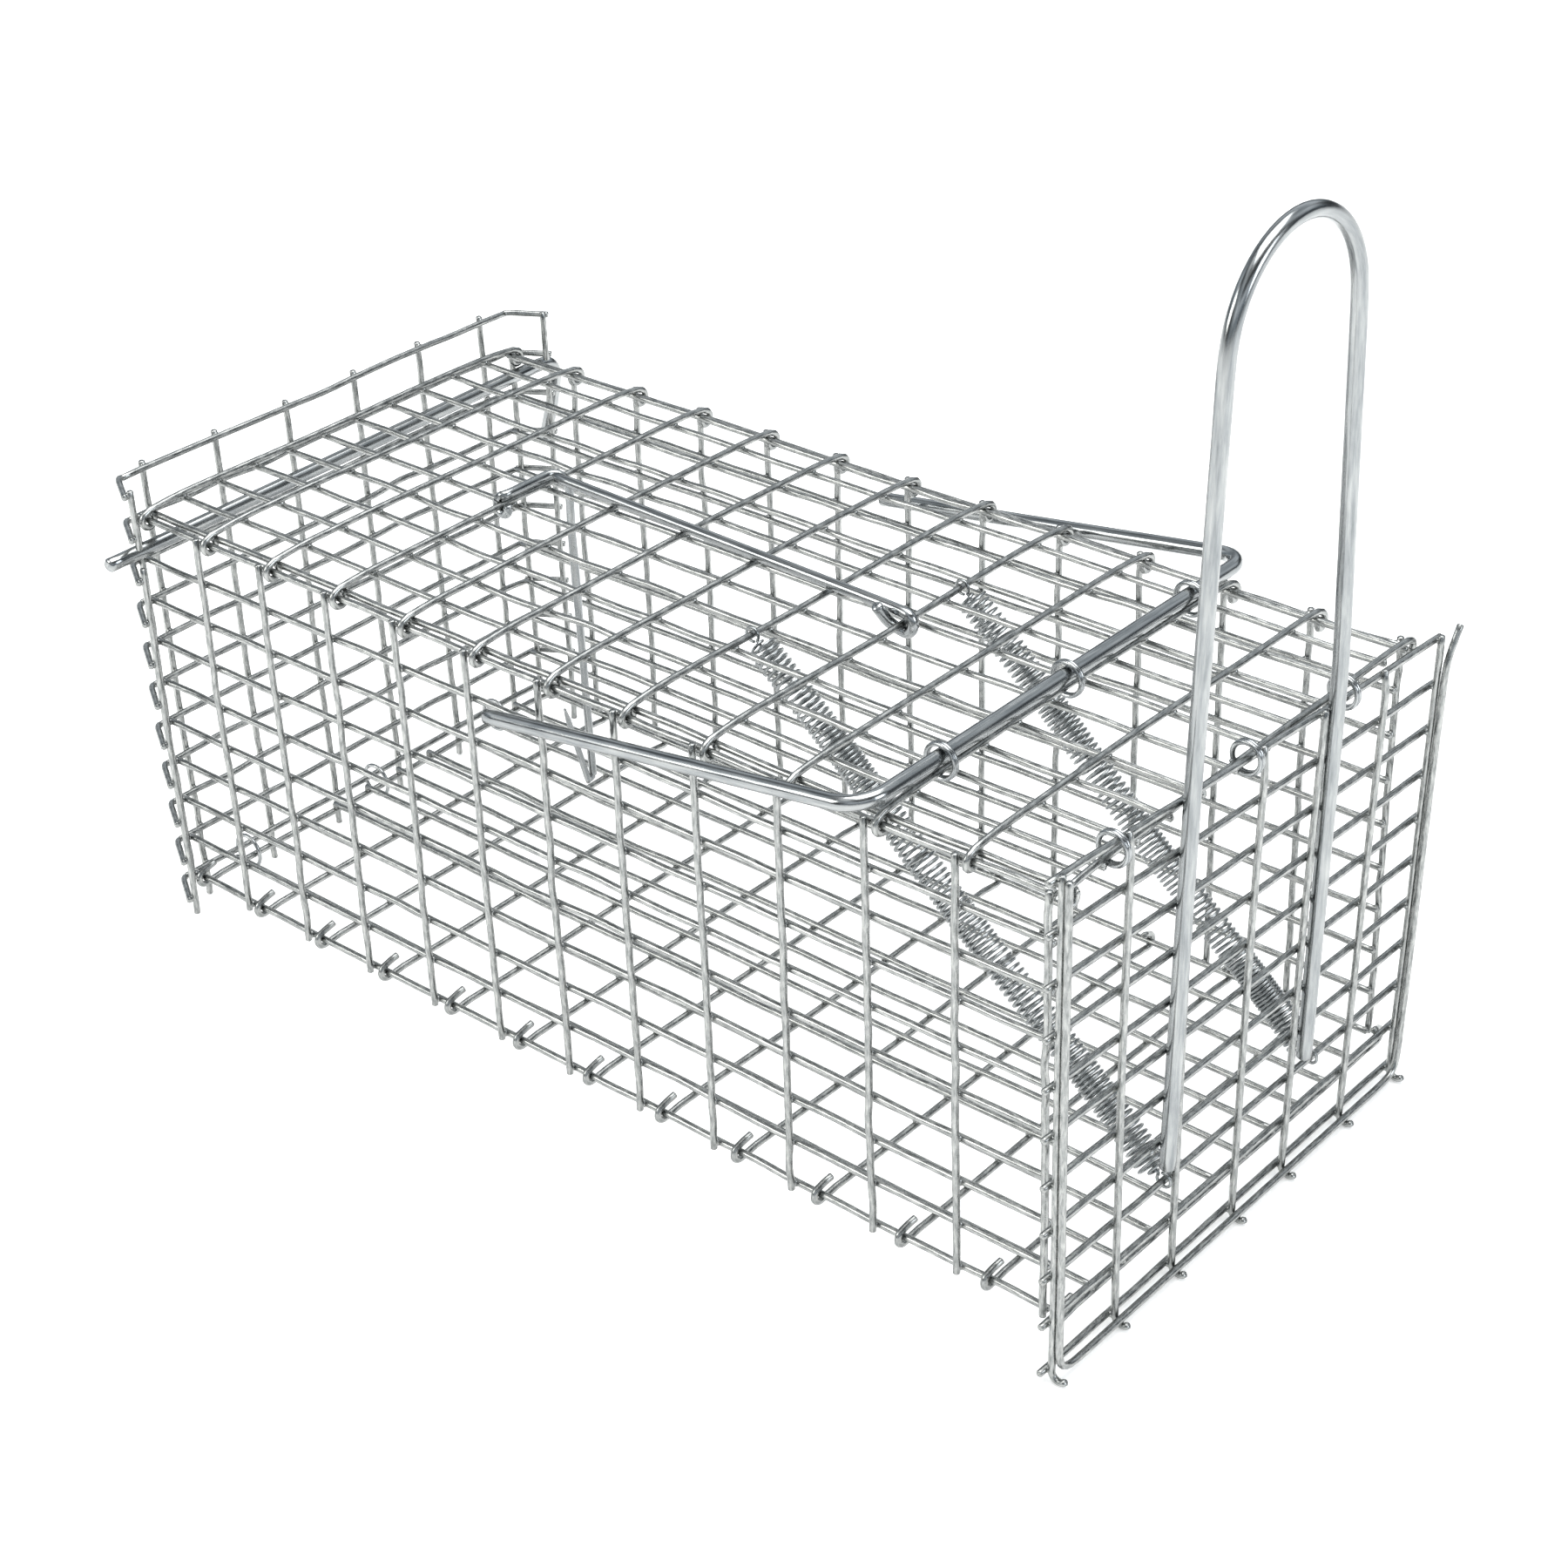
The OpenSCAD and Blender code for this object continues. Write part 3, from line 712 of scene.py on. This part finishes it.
# ---------------------------------------------------------------- swing bar
# Loose U of 4 mm wire over the roof: a crossbar held by three clips and an arm
# down each side of the cage, ends cut square.
BAR = np.array([101.6, 0, 121.1])
DROOP = np.radians(8.5)
ARM_Y = 76.5
ARM = 120.0
CORNER = 8.0
flat_bar = np.concatenate(
    [
        points_between([[-ARM, -ARM_Y, 0], [-CORNER, -ARM_Y, 0]], 4),
        arc([-CORNER, -ARM_Y + CORNER, 0], CORNER, -84, -6, (0, 1), 9),
        points_between([[0, -ARM_Y + CORNER, 0], [0, ARM_Y - CORNER, 0]], 4),
        arc([-CORNER, ARM_Y - CORNER, 0], CORNER, 6, 84, (0, 1), 9),
        points_between([[-CORNER, ARM_Y, 0], [-ARM, ARM_Y, 0]], 4),
    ]
)
drooped = np.array([[np.cos(DROOP), 0, np.sin(DROOP)], [0, 1, 0], [0, 0, 1]])
bar = BAR + flat_bar @ drooped
tube = carried_round(bar, 2.0, 18, [0, 0, 1])
make_piece("swing_bar_rod", [tube], rod_zinc, ["swing_bar"], "bar")

# clips of the swing bar: two turns of soft wire round the bar and the roof wire
for y, name in ((-48.0, "left"), (0.0, "middle"), (51.0, "right")):
    clip = closed_clip([101.6, y, 119.9], 4.25, 1.9, 0.62, 250)
    make_piece("swing_bar_clip_" + name, [clip], ring_zinc, ["swing_bar_ring_" + name], "cage")

# ---------------------------------------------------------------- rear door
# One mesh panel with both side edges bent forward and outward, so that it
# clasps the end of the cage. Level wires inside, uprights outside.
REAR_X = -158.4
REAR_POST_X = -160.1
REAR_BASE = -1.0
REAR_HALF = 73.2
FEET = DOOR_BASE - 2 * WIRE - 1.1
FLANGE = np.array([11.0, 6.6])
flange_way = FLANGE / np.linalg.norm(FLANGE)
ROD_TILT = np.radians(0.75)
LOCK_Z = 108.4
RELIEF = 5.6


def rear_level(k, side):
    """Half of a level wire: from the middle out to the bend and along the bent edge."""
    z = REAR_BASE + k * CELL
    corner = np.array([REAR_X, side * REAR_HALF, z])
    tip = corner + [FLANGE[0], side * FLANGE[1], 0]
    return corner, tip


parts, crossings = [], []
for k in range(11):
    ends = [rear_level(k, -1)[0] + [0, 1.0, 0], rear_level(k, 1)[0] - [0, 1.0, 0]]
    parts.append(carried_round(welded_wire(*ends, PITCH, REAR_HALF - 63.5 - 1, 0.25), WIRE))
    crossings += [[(REAR_X + REAR_POST_X) / 2, -63.5 + i * PITCH, REAR_BASE + k * CELL] for i in range(6)]
for i in range(6):
    y = -63.5 + i * PITCH
    ends = [[REAR_POST_X, y, FEET], [REAR_POST_X, y, REAR_BASE + 10 * CELL + 1.4]]
    post = welded_wire(*ends, CELL, REAR_BASE - FEET, 0.15)
    parts.append(carried_round(post, WIRE))
parts.append(weld_beads(np.array(crossings) + [-0.2, 0, 0], [0.85, 1.05, 1.05]))
make_piece("rear_door_grid", parts, mesh_zinc, ["rear_door_panel"], "rear_door")

for side, name in ((-1, "left"), (1, "right")):
    parts, crossings = [], []
    for k in range(11):
        corner, tip = rear_level(k, side)
        path = rounded(points_between([corner - [0, side * 1.2, 0], corner, tip], 1.2), 2)
        parts.append(carried_round(wander(path), WIRE))
        inward = np.array([flange_way[1], -side * flange_way[0], 0])
        crossings.append(tip - np.array([flange_way[0], side * flange_way[1], 0]) * 1.3 + inward * 0.8)
    foot = crossings[0] + inward * 0.9
    heel = FEET + (5.5 if side < 0 else 0)
    rod_z = LOCK_Z + side * 78 * np.sin(ROD_TILT) - 0.3
    top = REAR_BASE + 10 * CELL + 1.4
    for low, high in ((heel, rod_z - RELIEF / 2), (rod_z + RELIEF / 2, top)):
        ends = [[foot[0], foot[1], low], [foot[0], foot[1], high]]
        parts.append(carried_round(wander(points_between(ends, 3.2)), WIRE))
    parts.append(weld_beads(crossings, [1.0, 1.0, 1.05]))
    flange = f"rear_door_{name}_flange"
    make_piece(flange + "_mesh", parts, mesh_zinc, [flange], "rear_door")

# clips that hinge the rear door's lowest wire to the floor's rear cross-wire
for name in ("left", "middle", "right"):
    low, high = (Vector(v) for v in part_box("rear_hinge_ring_" + name))
    centre = (np.array((low + high) / 2) - cage_zero) * 1000
    clip = closed_clip(centre, 4.95, 1.04, 0.6, 120)
    make_piece("rear_hinge_clip_" + name, [clip], ring_zinc, ["rear_hinge_ring_" + name], "cage")

# ---------------------------------------------------------------- locking rod
# 4 mm wire pushed across the cage behind the rear door's bent edges. Outside
# the far wall it is bent down and back as a finger pull.
LOCK_X = -150.9
BEND = 5.0
near = np.array([LOCK_X, -86.0, LOCK_Z - 86.0 * np.sin(ROD_TILT)])
far = np.array([LOCK_X, 79.0, LOCK_Z + 79.0 * np.sin(ROD_TILT)])
pull = np.concatenate(
    [
        points_between([near, far], 4),
        arc(far - [0, 0, BEND], BEND, 80, 4, (1, 2), 12),
        points_between([far + [0, BEND, -BEND - 1], [LOCK_X - 3, 84, 92], [LOCK_X - 7, 84, 80]], 2.5),
    ]
)
pull = rounded(pull, 3)
tube = carried_round(pull, 2.0, 18, [1, 0, 0.01])
make_piece("locking_rod_wire", [tube], rod_zinc, ["locking_rod"], "lock")

# ---------------------------------------------------------------- floor and light
# Plain pale floor, a soft overhead light and two large side lights; the gaps
# between them give the wires their darker edges.
floor_mesh = bpy.data.meshes.new("pale_floor")
FLOOR_REACH = 30.0  # metres, so that its edge never shows
floor_corners = [(x * FLOOR_REACH, y * FLOOR_REACH, 0) for x, y in ((-1, -1), (1, -1), (1, 1), (-1, 1))]
floor_mesh.from_pydata(floor_corners, [], [(0, 1, 2, 3)])
floor = bpy.data.objects.new("pale_floor", floor_mesh)
bpy.context.scene.collection.objects.link(floor)
matt = bpy.data.materials.new("matt_white_board")
matt.use_nodes = True
matt.node_tree.nodes.clear()
board = add_node(
    matt.node_tree,
    "ShaderNodeBsdfPrincipled",
    {
        "Base Color": linear("#F7F7F6"),
        "Roughness": 0.9,
        "Specular IOR Level": 0.0,
        "Emission Color": linear("#FFFFFF"),
        "Emission Strength": 0.4,
    },
)
add_node(matt.node_tree, "ShaderNodeOutputMaterial", {}, {"Surface": board.outputs["BSDF"]})
floor_mesh.materials.append(matt)

world = bpy.data.worlds.new("studio")
bpy.context.scene.world = world
world.use_nodes = True
world.node_tree.nodes.clear()
aim = add_node(world.node_tree, "ShaderNodeTexCoord")
height = add_node(world.node_tree, "ShaderNodeSeparateXYZ", {}, {"Vector": aim.outputs["Generated"]})
tent = add_node(world.node_tree, "ShaderNodeValToRGB", {}, {"Fac": height.outputs["Z"]})
tent.color_ramp.elements[0].position, tent.color_ramp.elements[0].color = 0.0, linear("#8A9298")
tent.color_ramp.elements[1].position, tent.color_ramp.elements[1].color = 0.95, linear("#FFFFFF")
for at, tone in ((0.22, "#7C858C"), (0.42, "#D5DADF"), (0.7, "#9DA4A9")):
    tent.color_ramp.elements.new(at).color = linear(tone)
# soft panels and gaps of the tent, so that upright wires get dark and bright lines too
panels = add_node(
    world.node_tree,
    "ShaderNodeTexNoise",
    {"Scale": 2.1, "Detail": 0.0},
    {"Vector": aim.outputs["Generated"]},
)
power = add_node(
    world.node_tree,
    "ShaderNodeMapRange",
    {"From Min": 0.36, "From Max": 0.64, "To Min": 0.15, "To Max": 1.7},
    {"Value": panels.outputs["Fac"]},
)
sky = add_node(
    world.node_tree,
    "ShaderNodeBackground",
    {},
    {"Color": tent.outputs["Color"], "Strength": power.outputs["Result"]},
)
add_node(world.node_tree, "ShaderNodeOutputWorld", {}, {"Surface": sky.outputs["Background"]})


def soft_light(name, place, target, size, power, colour="#FFFFFF"):
    """Square area light that faces a point."""
    light = bpy.data.lights.new(name, "AREA")
    light.shape, light.size, light.energy = "SQUARE", size, power
    light.color = linear(colour)[:3]
    lamp = bpy.data.objects.new(name, light)
    lamp.location = place
    lamp.rotation_mode = "QUATERNION"
    lamp.rotation_quaternion = (Vector(place) - Vector(target)).to_track_quat("Z", "Y")
    bpy.context.scene.collection.objects.link(lamp)


soft_light("overhead", (0.1, 0.2, 1.7), (0, 0, 0.05), 1.3, 26)
soft_light("left_side", (-0.9, -1.3, 0.9), (0, 0, 0.1), 0.8, 12, "#FFFDF8")
soft_light("right_side", (1.6, 0.3, 0.8), (0, 0, 0.1), 0.7, 9, "#F6FAFF")

# camera: a little left of the front corner, looking down along the cage
AZIMUTH, ELEVATION, ROLL = np.radians([41.83, 30.86, -2.18])
camera_data = bpy.data.cameras.new("camera")
camera_data.sensor_width = 36.0
camera_data.lens = 3414.4 / 1800 * 36.0
camera = bpy.data.objects.new("camera", camera_data)
back = Vector(
    (np.sin(AZIMUTH) * np.cos(ELEVATION), -np.cos(AZIMUTH) * np.cos(ELEVATION), np.sin(ELEVATION))
)
turn = back.to_track_quat("Z", "Y").to_matrix() @ Matrix.Rotation(ROLL, 3, "Z")
camera.location = Vector(to_row([458.4, -499.7, 458.7]))
camera.rotation_mode = "QUATERNION"
camera.rotation_quaternion = turn.to_quaternion()
bpy.context.scene.collection.objects.link(camera)
bpy.context.scene.camera = camera
bpy.context.scene.view_settings.view_transform = "Standard"
